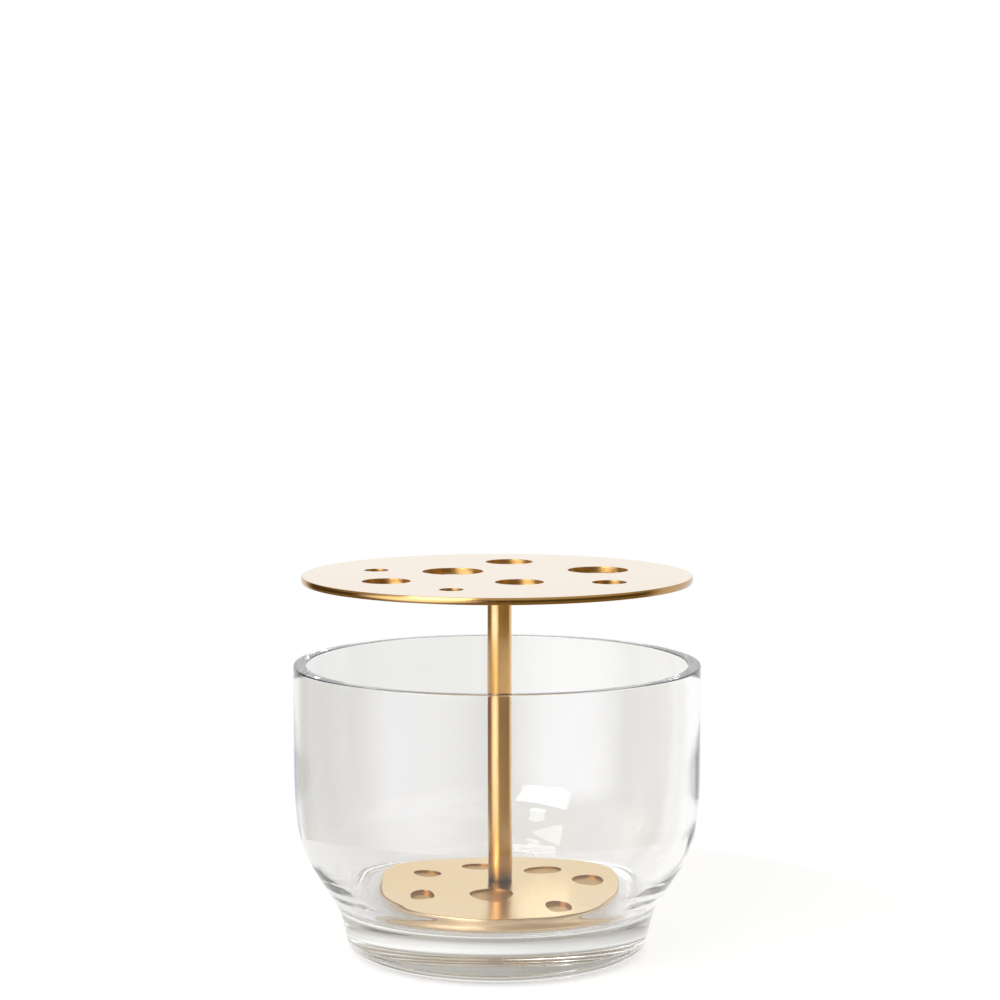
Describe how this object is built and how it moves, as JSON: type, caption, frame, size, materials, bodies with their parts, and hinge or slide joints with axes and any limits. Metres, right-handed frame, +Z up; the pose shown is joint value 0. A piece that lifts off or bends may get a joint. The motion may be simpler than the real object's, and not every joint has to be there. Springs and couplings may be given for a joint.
{
  "type": "flower frog",
  "caption": "Clear glass bowl with a thick foot holding a lift-out brass insert: a perforated round top plate on a slim post over a smaller base plate with stem sockets.",
  "frame": {"origin": "centre of the bowl's flat underside, on the bowl's axis", "axes": "+Z up along the axis of the bowl and the post; +X to the right and +Y away from a viewer at the front, which is the side where the top plate has its smallest stem hole nearest the edge"},
  "size_m": [0.133, 0.133, 0.1235],
  "materials": {
    "clear_glass": "clear polished blown glass",
    "top_plate_brass": "fine straight brushed grain",
    "base_plate_brass": "fine straight brushed grain",
    "post_brass": "satin turned",
    "stud_brass": "plain machined",
    "screw_brass": "plain machined"
  },
  "bodies": {
    "bowl": {"glass_bowl": "clear_glass"},
    "insert": {"top_plate": "top_plate_brass", "base_plate": "base_plate_brass", "post": "post_brass", "top_stud": "stud_brass", "base_screw": "screw_brass"}
  },
  "joints": [
    {"name": "insert_lift", "type": "slide", "parent": "bowl", "child": "insert", "axis": [0, 0, 1], "range_m": [0, 0.1]}
  ]
}
